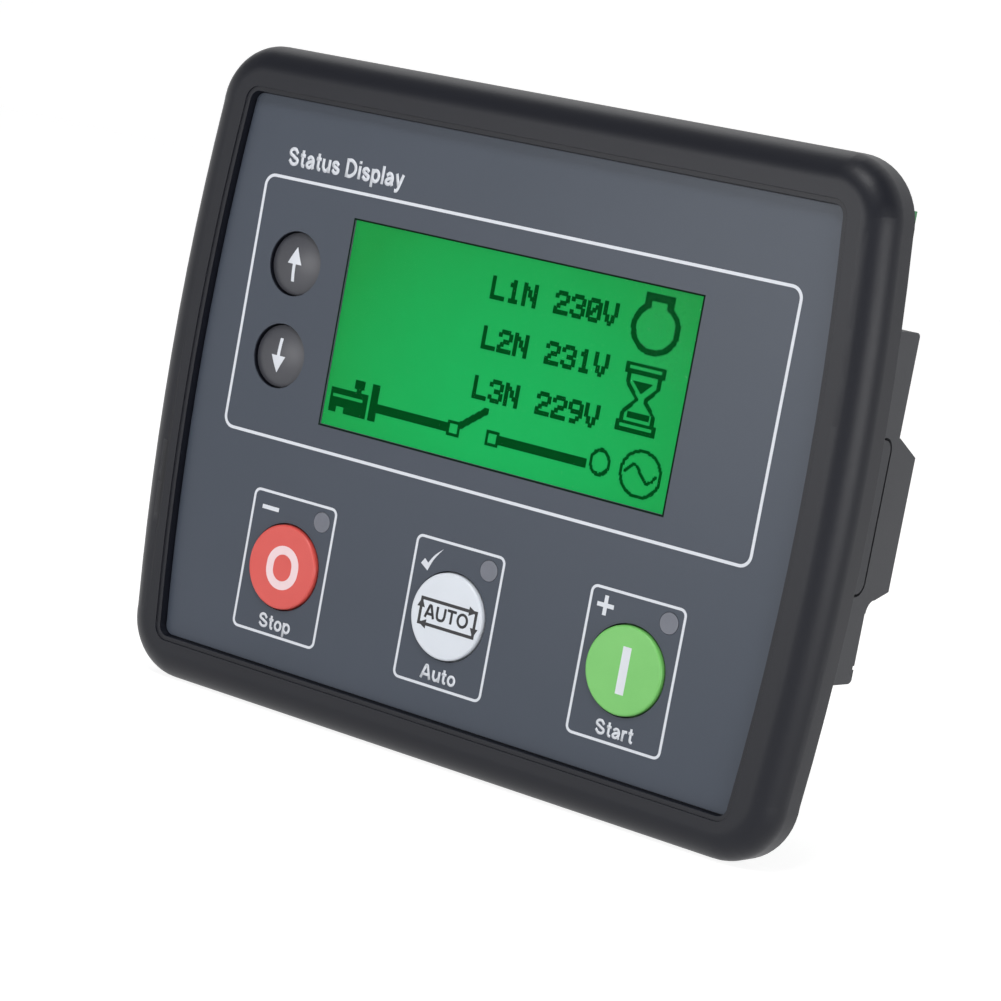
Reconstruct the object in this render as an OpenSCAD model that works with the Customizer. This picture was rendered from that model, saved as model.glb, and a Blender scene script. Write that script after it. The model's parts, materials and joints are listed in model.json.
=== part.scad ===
// Flush-mounted generating set controller for a panel cut-out, in millimetres.
// The front faces -Y, +Z is up, and y = 0 is the bezel's rear face, which sits on the panel.

/* [Bezel] */
// Overall width of the bezel, at the middle of its bowed sides
bezel_w = 141; // [138:0.5:160]
// Overall height of the bezel
bezel_h = 113; // [110:1:130]
// Thickness of the bezel in front of the panel
bezel_t = 8.5; // [8:0.1:10]
// How far the bezel's sides stand out in their middle
side_bow = 3.5; // [2:0.1:5]
// Corner radius of the bezel's outline
bezel_corner_r = 11; // [8:0.5:16]
// Rounding of the bezel's front edge
bezel_edge_r = 5; // [3:0.25:5.5]
// Width of the rim beside the face pocket, left and right
rim_side = 8; // [7.5:0.1:10]
// Width of the rim above the face pocket
rim_top = 8.3; // [7:0.1:10]
// Width of the rim below the face pocket
rim_bottom = 7.6; // [7:0.1:10]
// Width of the small step around the pocket's mouth
ledge_w = 0.8; // [0.4:0.1:1.2]
// Depth of the small step around the pocket's mouth
ledge_step = 0.3; // [0.2:0.05:0.6]
// Depth of the pocket from the step to the face
pocket_depth = 1.5; // [1:0.1:2]
// Corner radius of the pocket
pocket_r = 1.9; // [1:0.1:4]

/* [Case] */
// Width of the case that passes through the panel
case_w = 115.5; // [113:0.5:117]
// Height of the case that passes through the panel
case_h = 91; // [89.5:0.5:91.5]
// Corner radius of the case
case_r = 2; // [1:0.5:4]
// Wall of the front housing's skirt
skirt_wall = 2; // [1.5:0.1:2.4]
// Wall of the rear cover
cover_wall = 2.4; // [2:0.1:3]
// Thickness of the wall behind the face
face_wall = 2; // [1.5:0.1:2.5]
// Depth of the terminal ledges behind the panel
ledge_depth = 15; // [14.5:0.1:16]
// Depth of the shoulders behind the panel
shoulder_depth = 28.4; // [26:0.1:29.4]
// Depth of the middle block behind the panel
block_depth = 35.1; // [33:0.1:38]
// Height of the upper terminal ledge, from the case's top to the shoulders
ledge_top = 15.9; // [14.5:0.1:17]
// Height of the lower terminal ledge, from the case's bottom to the shoulders
ledge_bottom = 16.2; // [14.5:0.1:17]
// Top edge of the middle block's rear face
block_top = 8.8; // [6:0.1:10]
// Bottom edge of the middle block's rear face, below the middle
block_bottom = 13.8; // [10:0.1:15]
// Height that the slope above the middle block takes
block_slope = 3.3; // [1:0.1:6]
// Drop of the middle block's lower face towards the panel
block_draft = 1.4; // [0.5:0.1:2]
// Fillet where the middle block's lower face meets the shoulder
block_fillet = 2.2; // [1:0.1:3]
// Rounding of the cover's level rear edges
cover_edge_r = 1.3; // [0.4:0.1:1.6]
// Rounding of the cover's upright rear edges
cover_side_r = 0.3; // [0.2:0.1:0.6]
// Width of the small notch on the lower shoulder's side edges
notch_w = 0.7; // [0.4:0.1:1.2]
// Height of the notch below the middle
notch_drop = 26.6; // [24:0.1:27]

/* [Snap tongues and clip slots] */
// Width of each snap tongue
tongue_w = 25.7; // [18:0.1:28]
// Height of the tongues' middle line
tongue_z = -1.2; // [-3:0.1:2]
// Depth of the tongues' free end behind the panel
tongue_end = 25.9; // [22:0.1:26]
// Thickness of each tongue
tongue_t = 1.2; // [0.8:0.1:1.3]
// Corner radius of the tongues' free end
tongue_r = 2; // [1:0.1:3]
// Gap around each tongue
tongue_gap = 0.45; // [0.3:0.05:0.6]
// Width of the hook on each tongue
hook_w = 10; // [6:0.5:14]
// Height of a fixing clip's slot
clip_slot_h = 8; // [6:0.5:9]
// Width of a fixing clip's slot
clip_slot_w = 4.6; // [4.4:0.1:5]
// Distance of the clip slots from the middle, up and down
clip_slot_z = 21; // [20:0.1:22]

/* [Display] */
// Width of the display opening
window_w = 71.2; // [60:0.1:74]
// Height of the display opening
window_h = 35.2; // [30:0.1:37]
// Sideways place of the display's middle
window_x = 1.9; // [0:0.1:4]
// Height of the display's middle
window_z = 12.3; // [11:0.1:14]
// Thickness of the clear pane
pane_t = 0.5; // [0.4:0.1:0.8]
// Thickness of the liquid crystal cell
cell_t = 2; // [1.6:0.1:2.4]
// Thickness of the light guide behind the cell
guide_t = 3; // [2:0.1:3.5]

/* [Keys] */
// Diameter of the three round main keys
key_d = 14.7; // [12:0.1:16]
// Distance between the main keys
key_pitch = 36; // [32:0.5:38]
// Depth of the main keys' row below the middle
key_drop = 31.2; // [30:0.1:33]
// Height of the main keys above the face
key_proud = 0.7; // [0.4:0.1:1]
// Diameter of the two arrow keys
arrow_d = 10.7; // [9:0.1:12]
// Height of the point midway between the arrow keys
arrow_z = 12.2; // [10:0.1:14]
// Distance between the arrow keys
arrow_pitch = 16.15; // [15:0.05:18]
// Depth of the arrow keys' rim below the face
arrow_sunk = 0.8; // [0.5:0.1:1]
// Rise of the arrow keys' dome
arrow_rise = 0.9; // [0.5:0.1:1.2]
// Travel of every key
key_travel = 0.5; // [0.3:0.05:0.6]
// Gap around every key
key_gap = 0.25; // [0.2:0.05:0.3]
// Width of the collar that keeps a key in its hole
collar_w = 0.8; // [0.6:0.1:1]
// Thickness of that collar
collar_t = 1; // [0.8:0.1:1.4]
// Diameter of the post behind a key
post_d = 4.4; // [3.6:0.1:6]

/* [Indicators] */
// Diameter of the indicator windows
lamp_d = 3.5; // [2.5:0.1:4.5]
// Place of an indicator right of its key
lamp_dx = 6.4; // [6:0.1:7]
// Place of an indicator above its key
lamp_dz = 9.35; // [9:0.05:10]
// Diameter of the light emitting diodes
diode_d = 3; // [2:0.1:3.4]

/* [Board] */
// Height of the posts that carry the board
boss_h = 8.4; // [8:0.1:10]
// Diameter of those posts
boss_d = 6.8; // [6:0.1:7.4]
// Thickness of the board
board_t = 1.6; // [1:0.1:2]
// Gap between the board and the skirt
board_gap = 0.6; // [0.4:0.1:1]
// Distance of the board screws from the case's sides
screw_side = 6.25; // [5.75:0.05:7.5]
// Distance of the upper board screws from the case's top
screw_top = 15.5; // [15:0.1:16.5]
// Diameter of the board screws' thread
screw_d = 2.9; // [2.5:0.1:3]
// Diameter of the board screws' heads
screw_head_d = 5.4; // [5:0.1:6]
// Height of the board screws' heads
screw_head_h = 1.8; // [1.4:0.1:2]
// Side of a key switch
switch_side = 6; // [5:0.1:7]
// Height of a key switch without its plunger
switch_h = 3.4; // [3:0.1:4]
// Diameter of a key switch's plunger
plunger_d = 3.2; // [2.6:0.1:3.6]
// Length of a plunger outside its switch
plunger_out = 1.4; // [1.2:0.1:2]

/* [Terminals] */
// Distance between terminal poles
pole_pitch = 5.08; // [5:0.01:5.08]
// Distance of the terminal rows from the case's top and bottom
row_inset = 6.7; // [6.5:0.1:7]
// Least distance of the upper row from the case's sides
top_row_side = 4; // [3:0.1:4.8]
// Least distance of the lower row from the case's sides
bottom_row_side = 9; // [8:0.1:11]
// Height of the pin headers on the board
header_h = 12; // [11:0.1:12.5]
// Height of a header's mouth, outside
header_z = 8.2; // [7.8:0.1:8.4]
// Wall of a header
header_wall = 0.9; // [0.7:0.1:1]
// Gap between neighbouring plugs
plug_space = 2; // [1.6:0.1:2.4]
// Height of a plug's body
plug_z = 15; // [13:0.1:16]
// Depth of a plug's body behind its header
plug_y = 10.2; // [9:0.1:12]
// Height of a plug's body on the outer side of its row
plug_outer = 10; // [9:0.1:10.5]
// Width of a wire entry
entry_w = 3.6; // [3:0.1:3.8]
// Height of a wire entry
entry_h = 4.4; // [3.6:0.1:4.8]
// Diameter of the terminal screws' heads
clamp_screw_d = 3.5; // [3:0.1:3.7]

/* [Hidden] */
$fn = 64;
eps = 0.01;

// Depths along y, from the front to the back
front_y = -bezel_t;
ledge_y = front_y + ledge_step;
face_y = ledge_y + pocket_depth;
foil_t = 0.3;
floor_y = face_y + foil_t;
wall_back_y = floor_y + face_wall;
board_y = wall_back_y + boss_h;
board_back_y = board_y + board_t;
lip_gap = 0.4;
lip_len = 2;
lip_t = 1.2;
lip_root = 1.4;
seam_y = board_back_y + lip_gap + lip_len;
header_end_y = board_back_y + header_h;
fit_gap = 0.15;

// Arcs of the bezel's sides, each around a point on the far side of the middle
bow_r = (pow(bezel_h / 2, 2) + pow(side_bow, 2)) / (2 * side_bow);
bow_x = bow_r - bezel_w / 2;
// Share of a corner's radius by which it stands out over the bowed side, so that the two cross
corner_blend = 0.008;

// Face pocket
pocket_h = bezel_h - rim_top - rim_bottom;
pocket_z = (rim_bottom - rim_top) / 2;
foil_gap = 0.15;

// Seal in the bezel's rear face
gasket_w = 3.6;
gasket_t = 1.5;
gasket_inset = 3;
gasket_gap = 0.1;

// Display stack
pane_margin = 2.5;
cell_margin = 0.8;
cell_gap = 0.2;
pane_air = 0.05;
pane_back_y = floor_y + pane_t;
cell_y = pane_back_y + pane_air;
guide_y = cell_y + cell_t;
guide_back_y = guide_y + guide_t;
frame_wall = 1.2;
frame_floor = 1;
frame_air = 0.1;
frame_y = wall_back_y + frame_air;
frame_low_z = window_z - window_h / 2 - cell_margin - cell_gap - frame_wall;

// Keys, each with its place on the face, the arrow keys midway between the display's seat and the skirt
key_z = -key_drop;
display_reach = window_w / 2 - window_x + cell_margin + cell_gap;
arrow_x = (case_w / 2 - skirt_wall + display_reach) / 2;
stop_at = [-key_pitch, key_z];
auto_at = [0, key_z];
start_at = [key_pitch, key_z];
up_at = [-arrow_x, arrow_z + arrow_pitch / 2];
down_at = [-arrow_x, arrow_z - arrow_pitch / 2];
main_sites = [stop_at, auto_at, start_at];
arrow_sites = [up_at, down_at];
key_edge_r = 0.4;
switch_y = board_y - switch_h;
plunger_y = switch_y - plunger_out;
plunger_in = 1.2;
plunger_end_gap = 0.3;
plunger_gap = 0.25;

// Indicators
lamp_sites = [for (s = main_sites) s + [lamp_dx, lamp_dz]];
pipe_gap = 0.05;
pipe_collar_w = 0.8;
pipe_collar_t = 0.8;
diode_h = 3.6;
diode_air = 0.2;
diode_top_y = board_y - diode_h;
pipe_end_y = diode_top_y - diode_air;
lamp_top_z = key_z + lamp_dz + lamp_d / 2 + pipe_collar_w;

// Board fixings, the lower ones midway between the indicators and the display
screw_x = case_w / 2 - screw_side;
screw_zs = [case_h / 2 - screw_top, (lamp_top_z + frame_low_z) / 2];
screw_sites = [for (x = [-screw_x, screw_x], z = screw_zs) [x, z]];
screw_gap = 0.1;
screw_len = 6;
screw_tip_gap = 0.6;
screw_hole_d = screw_d + 2 * screw_gap;

// Parts on the back of the board
mcu_side = 14;
mcu_t = 1.4;
mcu_x = -13;
driver_size = [6.4, 2.2, 6];
driver_count = 4;
driver_pitch = 9;
driver_x = 6;
driver_z = -22;
capacitor_d = 10;
capacitor_h = 12.5;
capacitor_count = 3;
capacitor_pitch = 13;
capacitor_side = 13.75;
capacitor_x = case_w / 2 - capacitor_side;
capacitor_z = 8;

// Snap hooks
recess_gap = 0.2;
recess_t = tongue_t + recess_gap;
hook_setback = 5;
hook_y = tongue_end - hook_setback;
hook_len = 2.4;
hook_reach = cover_wall - recess_t + recess_gap;

// Clip slots just behind the thickest panel
clip_slot_setback = 1.6;
clip_slot_y = seam_y + clip_slot_setback;

// Ends of the cover's shoulders
shoulder_top = case_h / 2 - ledge_top;
shoulder_bottom = case_h / 2 - ledge_bottom;

// Terminal rows: as many poles as fit, shared out to the blocks from left to right
row_z = case_h / 2 - row_inset;
top_count = floor((case_w - 2 * top_row_side - 2 * plug_space) / pole_pitch);
top_outer_share = 0.3;
top_outer = floor(top_count * top_outer_share);
top_poles = [top_outer, top_count - 2 * top_outer, top_outer];
bottom_count = floor((case_w - 2 * bottom_row_side - plug_space) / pole_pitch);
bottom_left_share = 0.45;
bottom_left = floor(bottom_count * bottom_left_share);
bottom_poles = [bottom_left, bottom_count - bottom_left];
top_row = 1;
bottom_row = -1;
header_side = 0.7;
nose_gap = 0.2;
nose_wall = 0.8;
nose_len = 7.6;
plug_gap = 0.4;
plug_front_y = header_end_y + plug_gap;
plug_back_y = plug_front_y + plug_y;
plug_inner = plug_z - plug_outer;
plug_chamfer = 2;
entry_depth = 8;
entry_floor_y = plug_back_y - entry_depth;
groove_w = 0.5;
groove_t = 0.4;
clamp_gap = 0.15;
clamp_len = 5;
clamp_wall = 0.5;
clamp_top = entry_h / 2 - clamp_gap;
clamp_screw_h = 2;
clamp_screw_sunk = 1.8;
clamp_screw_gap = 0.15;
clamp_neck = 0.45;
clamp_thread_d = clamp_screw_d - 2 * clamp_neck;
driver_slot_w = 0.6;
driver_slot_t = 0.7;
pin_side = 1;
pin_len = 9.4;

function corner_x(arc_r, h, r) = sqrt(pow(arc_r - r, 2) - pow(h / 2 - r, 2)) - bow_x + corner_blend * r;
function sum(list, count) = count <= 0 ? 0 : list[count - 1] + sum(list, count - 1);
function row_len(poles) = sum(poles, len(poles)) * pole_pitch + (len(poles) - 1) * plug_space;
function block_len(poles, i) = poles[i] * pole_pitch;
function block_x(poles, i) = -row_len(poles) / 2 + sum(poles, i) * pole_pitch + i * plug_space;
function pole_xs(poles) = [
    for (i = [0 : len(poles) - 1], k = [0 : poles[i] - 1]) block_x(poles, i) + (k + 0.5) * pole_pitch
];

// Rounded rectangle drawn in x and z
module rounded_rect(w, h, r) {
    square([w - 2 * r, h], center = true);
    square([w, h - 2 * r], center = true);
    for (x = [-1, 1], z = [-1, 1])
        translate([x * (w / 2 - r), z * (h / 2 - r)]) circle(r);
}

// Rectangle with the bezel's bowed sides, set in from them, drawn in x and z
module bowed_rect(inset, h, r) {
    arc_r = bow_r - inset;
    x = corner_x(arc_r, h, r);
    z = h / 2 - r;
    square([2 * x, h], center = true);
    for (side = [-1, 1]) {
        for (up = [-1, 1]) translate([side * x, up * z]) circle(r);
        intersection() {
            translate([-side * bow_x, 0]) circle(arc_r, $fn = 720);
            translate([side * bezel_w / 2, 0]) square([bezel_w, 2 * z], center = true);
        }
    }
}

// Extrudes a shape drawn in x and z from depth y0 to depth y1
module slab(y0, y1) {
    translate([0, y1, 0]) rotate([90, 0, 0]) linear_extrude(y1 - y0) children();
}

// Extrudes a shape drawn in y and z between two places along x
module along_x(x0, x1) {
    translate([x0, 0, 0]) rotate([90, 0, 90]) linear_extrude(x1 - x0) children();
}

// Extrudes a shape drawn in x and y between two heights
module along_z(z0, z1) {
    translate([0, 0, z0]) linear_extrude(z1 - z0) children();
}

// Round bar along y at a place on the face
module rod(at, d, y0, y1) {
    slab(y0, y1) translate(at) circle(d = d);
}

// Box between two corners
module box(low, high) {
    translate(low) cube(high - low);
}

// Section of the bezel in depth and reach, with its rounded front edges
module bezel_section(reach) {
    translate([front_y + bezel_edge_r, -reach]) square([bezel_t - bezel_edge_r, 2 * reach]);
    translate([front_y, bezel_edge_r - reach]) square([bezel_t, 2 * (reach - bezel_edge_r)]);
    intersection() {
        translate([front_y, -reach]) square([bezel_edge_r, 2 * reach]);
        for (side = [-1, 1])
            translate([front_y + bezel_edge_r, side * (reach - bezel_edge_r)]) circle(bezel_edge_r);
    }
}

// Section of the bezel's edge, in radius and height above the panel
module bezel_edge_section(inner, outer) {
    translate([inner, 0]) square([outer - inner, bezel_t - bezel_edge_r]);
    translate([inner, 0]) square([outer - inner - bezel_edge_r, bezel_t]);
    translate([outer - bezel_edge_r, bezel_t - bezel_edge_r]) intersection() {
        circle(bezel_edge_r);
        square(bezel_edge_r);
    }
}

// Solid bezel with its front edge rounded all the way round
module bezel_blank() {
    x = corner_x(bow_r, bezel_h, bezel_corner_r);
    z = bezel_h / 2 - bezel_corner_r;
    along_x(-x, x) bezel_section(bezel_h / 2);
    both_sides() {
        intersection() {
            translate([-bow_x, 0, 0]) rotate([90, 0, 0])
                rotate_extrude($fn = 360) bezel_edge_section(x + bow_x - 1, bow_r);
            box([0, front_y - 1, -z], [bezel_w / 2 + 1, 1, z]);
        }
        for (up = [-1, 1]) translate([x, 0, up * z]) rotate([90, 0, 0])
            rotate_extrude() bezel_edge_section(0, bezel_corner_r);
    }
}

// Outline of a snap tongue in y and z, grown by a gap, from depth y0
module tongue_outline(y0, gap) {
    half = tongue_w / 2 + gap;
    end = tongue_end + gap;
    r = tongue_r + gap;
    translate([y0, tongue_z - half]) square([end - r - y0, 2 * half]);
    translate([y0, tongue_z - half + r]) square([end - y0, 2 * (half - r)]);
    for (side = [-1, 1]) translate([end - r, tongue_z + side * (half - r)]) circle(r);
}

// Snap tongue with its hook, on the right side
module tongue() {
    outer = case_w / 2;
    inner = outer - tongue_t;
    along_x(inner, outer) tongue_outline(seam_y - 1, 0);
    along_z(tongue_z - hook_w / 2, tongue_z + hook_w / 2)
        polygon([[inner + eps, hook_y], [inner + eps, hook_y + hook_len], [inner - hook_reach, hook_y]]);
}

// Both sides of the case
module both_sides() {
    children();
    mirror([1, 0, 0]) children();
}

// Front housing: bezel, face wall, skirt, board posts and snap tongues in one moulding
module front_housing() {
    color("#2f3032") difference() {
        union() {
            difference() {
                union() {
                    bezel_blank();
                    slab(-eps, seam_y) rounded_rect(case_w, case_h, case_r);
                }
                slab(wall_back_y, seam_y + 1)
                    rounded_rect(case_w - 2 * skirt_wall, case_h - 2 * skirt_wall, case_r / 2);
            }
            for (s = screw_sites) rod(s, boss_d, wall_back_y - eps, board_y);
            both_sides() tongue();
        }
        face_pocket();
        gasket_groove();
        display_opening();
        for (s = main_sites) rod(s, key_d + 2 * key_gap, front_y, wall_back_y + eps);
        for (s = arrow_sites) rod(s, arrow_d + 2 * key_gap, front_y, wall_back_y + eps);
        for (s = lamp_sites) rod(s, lamp_d + 2 * pipe_gap, front_y, wall_back_y + eps);
        for (s = screw_sites) rod(s, screw_hole_d, board_y - screw_len, board_y + 1);
    }
}

// Stepped pocket for the fascia
module face_pocket() {
    translate([0, 0, pocket_z]) {
        slab(front_y - 1, ledge_y)
            bowed_rect(rim_side - ledge_w, pocket_h + 2 * ledge_w, pocket_r + ledge_w);
        slab(front_y - 1, floor_y) bowed_rect(rim_side, pocket_h, pocket_r);
    }
}

// Groove for the seal in the bezel's rear face
module gasket_groove() {
    slab(-gasket_t, 1) gasket_ring(gasket_gap);
}

// Ring around the case, grown by a gap on both sides
module gasket_ring(gap) {
    inset = gasket_inset - gap;
    reach = gasket_inset + gasket_w + gap;
    difference() {
        rounded_rect(case_w + 2 * reach, case_h + 2 * reach, case_r + reach);
        rounded_rect(case_w + 2 * inset, case_h + 2 * inset, case_r + inset);
    }
}

// Seat of the clear pane and the opening for the display behind it
module display_opening() {
    pane_seat = 2 * (pane_margin + fit_gap);
    cell_seat = 2 * (cell_margin + cell_gap);
    translate([window_x, 0, window_z]) {
        slab(front_y, pane_back_y) square([window_w + pane_seat, window_h + pane_seat], center = true);
        slab(front_y, wall_back_y + eps) square([window_w + cell_seat, window_h + cell_seat], center = true);
    }
}

// Printed foil in the pocket, cut out for the display, the keys and the indicators
module fascia_overlay() {
    color("#5a5f67") slab(face_y, floor_y) difference() {
        translate([0, pocket_z])
            bowed_rect(rim_side + foil_gap, pocket_h - 2 * foil_gap, pocket_r - foil_gap);
        translate([window_x, window_z]) square([window_w, window_h], center = true);
        for (s = main_sites) translate(s) circle(d = key_d + 2 * key_gap);
        for (s = arrow_sites) translate(s) circle(d = arrow_d + 2 * key_gap);
        for (s = lamp_sites) translate(s) circle(d = lamp_d + 2 * pipe_gap);
    }
}

// Clear pane under the foil
module display_window() {
    color("#c8d8d0", 0.4) translate([window_x, 0, window_z])
        slab(floor_y, pane_back_y) square([window_w + 2 * pane_margin, window_h + 2 * pane_margin], center = true);
}

// Size of the liquid crystal cell on the face
module cell_outline(grow) {
    square([window_w + 2 * (cell_margin + grow), window_h + 2 * (cell_margin + grow)], center = true);
}

// Liquid crystal cell
module lcd_cell() {
    color("#22a850") translate([window_x, 0, window_z]) slab(cell_y, guide_y) cell_outline(0);
}

// Light guide behind the cell
module lcd_light_guide() {
    color("#d8f0dc") translate([window_x, 0, window_z]) slab(guide_y, guide_back_y) cell_outline(0);
}

// Frame that carries the cell and its light guide on the board
module lcd_frame() {
    color("#e6e6e2") translate([window_x, 0, window_z]) difference() {
        slab(frame_y, board_y) cell_outline(cell_gap + frame_wall);
        slab(frame_y - 1, guide_back_y) cell_outline(cell_gap);
        slab(guide_back_y + frame_floor, board_y + 1) cell_outline(cell_gap);
    }
}

// Board with its fixing holes
module main_board() {
    board_w = case_w - 2 * (skirt_wall + board_gap);
    board_h = case_h - 2 * (skirt_wall + board_gap);
    color("#1f6b3a") difference() {
        slab(board_y, board_back_y) square([board_w, board_h], center = true);
        for (s = screw_sites) rod(s, screw_d + 4 * screw_gap, board_y - 1, board_back_y + 1);
    }
}

// Microcontroller on the back of the board
module microcontroller() {
    half = mcu_side / 2;
    color("#222222") box([mcu_x - half, board_back_y, -half], [mcu_x + half, board_back_y + mcu_t, half]);
}

// Output driver chips on the back of the board
module driver_chips() {
    color("#262626") for (k = [0 : driver_count - 1])
        translate([driver_x + k * driver_pitch, board_back_y, driver_z]) cube(driver_size);
}

// Round capacitors on the back of the board
module supply_capacitors() {
    color("#30343c") for (k = [0 : capacitor_count - 1])
        rod([capacitor_x - k * capacitor_pitch, capacitor_z], capacitor_d, board_back_y, board_back_y + capacitor_h);
}

// Pan head screws that hold the board on its posts
module board_screws() {
    color("#b8babd") for (s = screw_sites) {
        rod(s, screw_d, board_y - screw_len + screw_tip_gap, board_back_y + eps);
        rod(s, screw_head_d, board_back_y, board_back_y + screw_head_h);
    }
}

// Half section of a flat key's cap, from its collar to its top, in radius and height
module flat_cap_section(d, h) {
    square([d / 2 + collar_w, collar_t]);
    square([d / 2, h - key_edge_r]);
    square([d / 2 - key_edge_r, h]);
    translate([d / 2 - key_edge_r, h - key_edge_r]) intersection() {
        circle(key_edge_r);
        square(key_edge_r);
    }
}

// Half section of a domed key's cap, in radius and height
module domed_cap_section(d, h) {
    dome_r = (pow(d / 2, 2) + pow(arrow_rise, 2)) / (2 * arrow_rise);
    square([d / 2 + collar_w, collar_t]);
    square([d / 2, h]);
    intersection() {
        translate([0, h + arrow_rise - dome_r]) circle(dome_r, $fn = 128);
        translate([0, h - eps]) square([d / 2, arrow_rise + 1]);
    }
}

// Key on its collar, with the post that meets the switch
module key(at) {
    collar_y = wall_back_y + collar_t;
    translate([at[0], collar_y, at[1]]) rotate([90, 0, 0]) rotate_extrude() children();
    rod(at, post_d, collar_y - eps, plunger_y);
}

module main_key(at) {
    key(at) flat_cap_section(key_d, wall_back_y + collar_t - face_y + key_proud);
}

module arrow_key(at) {
    key(at) domed_cap_section(arrow_d, wall_back_y + collar_t - face_y - arrow_sunk);
}

module stop_key() { color("#d8433c") main_key(stop_at); }
module auto_key() { color("#eceef0") main_key(auto_at); }
module start_key() { color("#74c066") main_key(start_at); }
module up_key() { color("#6a686b") arrow_key(up_at); }
module down_key() { color("#6a686b") arrow_key(down_at); }

// Plunger of a key switch
module plunger(at) {
    color("#3a3a3a") rod(at, plunger_d, plunger_y, switch_y + plunger_in);
}

module stop_plunger() { plunger(stop_at); }
module auto_plunger() { plunger(auto_at); }
module start_plunger() { plunger(start_at); }
module up_plunger() { plunger(up_at); }
module down_plunger() { plunger(down_at); }

// Bodies of the key switches on the front of the board
module key_switches() {
    color("#2b2b2b") for (s = concat(main_sites, arrow_sites)) difference() {
        slab(switch_y, board_y) translate(s) square(switch_side, center = true);
        rod(s, plunger_d + 2 * plunger_gap, switch_y - 1, switch_y + plunger_in + key_travel + plunger_end_gap);
    }
}

// Light pipes that show as the indicators on the face
module light_pipes() {
    color("#8b8a90") for (s = lamp_sites) {
        rod(s, lamp_d, face_y, pipe_end_y);
        rod(s, lamp_d + 2 * pipe_collar_w, wall_back_y, wall_back_y + pipe_collar_t);
    }
}

// Half section of a light emitting diode, in radius and height above the board
module diode_section() {
    r = diode_d / 2;
    square([r, diode_h - r]);
    translate([0, diode_h - r]) intersection() {
        circle(r);
        square(r);
    }
}

// Light emitting diodes on the front of the board
module status_diodes() {
    color("#d9d4cf") for (s = lamp_sites)
        translate([s[0], board_y, s[1]]) rotate([90, 0, 0]) rotate_extrude() diode_section();
}

// Rubber seal between the bezel and the panel
module panel_gasket() {
    color("#1c1c1c") slab(-gasket_t, 0) gasket_ring(0);
}

// Rectangle from depth y0 to depth y1 with its two rear corners rounded, drawn in reach and depth
module rear_rounded(low, high, y0, y1, r) {
    translate([low, y0]) square([high - low, y1 - y0 - r]);
    translate([low + r, y0]) square([high - low - 2 * r, y1 - y0]);
    for (x = [low + r, high - r]) translate([x, y1 - r]) circle(r);
}

// Part of the cover of one depth between two heights, with rounded rear edges
module cover_step(z0, z1, y0, y1) {
    intersection() {
        along_z(z0, z1) rear_rounded(-case_w / 2, case_w / 2, y0, y1, cover_side_r);
        along_x(-case_w / 2, case_w / 2) mirror([1, -1]) rear_rounded(z0, z1, y0, y1, cover_edge_r);
    }
}

// Outline of the middle block in y and z, pulled in by a wall
module block_outline(y0, wall) {
    end = block_depth - wall;
    foot = shoulder_depth + block_fillet - wall;
    low = -block_bottom - block_draft + wall;
    polygon([
        [y0, block_top + block_slope - wall],
        [shoulder_depth - wall, block_top + block_slope - wall],
        [end, block_top - wall],
        [end, -block_bottom + wall],
        [foot, low],
        [y0, low]
    ]);
}

// Fillet under the middle block, in y and z
module block_fillet_outline() {
    low = -block_bottom - block_draft;
    foot = shoulder_depth + block_fillet;
    difference() {
        translate([shoulder_depth - 1, low - block_fillet]) square([block_fillet + 1, block_fillet + eps]);
        translate([foot, low - block_fillet]) circle(block_fillet);
    }
}

// Outside of the rear cover
module cover_outside() {
    cover_step(-case_h / 2, case_h / 2, seam_y, ledge_depth);
    cover_step(-shoulder_bottom, shoulder_top, seam_y, shoulder_depth);
    intersection() {
        along_x(-case_w / 2, case_w / 2) {
            block_outline(seam_y, 0);
            block_fillet_outline();
        }
        along_z(-case_h / 2, case_h / 2)
            rear_rounded(-case_w / 2, case_w / 2, seam_y, block_depth, cover_side_r);
    }
}

// Hollow of the rear cover, open towards the front
module cover_inside() {
    half = case_w / 2 - cover_wall;
    y0 = seam_y - 1;
    box([-half, y0, -case_h / 2 + cover_wall], [half, ledge_depth - cover_wall, case_h / 2 - cover_wall]);
    box([-half, y0, -shoulder_bottom + cover_wall], [half, shoulder_depth - cover_wall, shoulder_top - cover_wall]);
    along_x(-half, half) block_outline(y0, cover_wall);
}

// Lip of the rear cover that plugs into the skirt, on the right side
module cover_lip() {
    outer = case_w / 2 - skirt_wall - fit_gap;
    box([outer - lip_t, seam_y - lip_len, cover_wall - shoulder_bottom],
        [outer, seam_y + lip_root, shoulder_top - cover_wall]);
}

// Recess for a snap tongue and the window for its hook, on the right side
module tongue_recess() {
    outer = case_w / 2;
    clear = fit_gap;
    along_x(outer - recess_t, outer + 1) tongue_outline(seam_y - lip_len - 1, tongue_gap);
    box([outer - cover_wall - 1, hook_y - clear, tongue_z - hook_w / 2 - clear],
        [outer, hook_y + hook_len + clear, tongue_z + hook_w / 2 + clear]);
}

// Slots for the fixing clips, on the right side
module clip_slots() {
    outer = case_w / 2;
    for (z = [-clip_slot_z, clip_slot_z])
        box([outer - cover_wall - 1, clip_slot_y, z - clip_slot_h / 2],
            [outer + 1, clip_slot_y + clip_slot_w, z + clip_slot_h / 2]);
}

// Small notches in the lower shoulder's side edges, on the right side
module edge_notch() {
    box([case_w / 2 - cover_wall, shoulder_depth - notch_w, -notch_drop - notch_w / 2],
        [case_w / 2 + 1, shoulder_depth + 1, -notch_drop + notch_w / 2]);
}

// Openings in the ledges for one row of headers
module header_windows(poles, row) {
    half_z = header_z / 2 + fit_gap;
    reach = header_side + fit_gap;
    for (i = [0 : len(poles) - 1])
        box([block_x(poles, i) - reach, ledge_depth - cover_wall - 1, row * row_z - half_z],
            [block_x(poles, i) + block_len(poles, i) + reach, ledge_depth + 1, row * row_z + half_z]);
}

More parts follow.
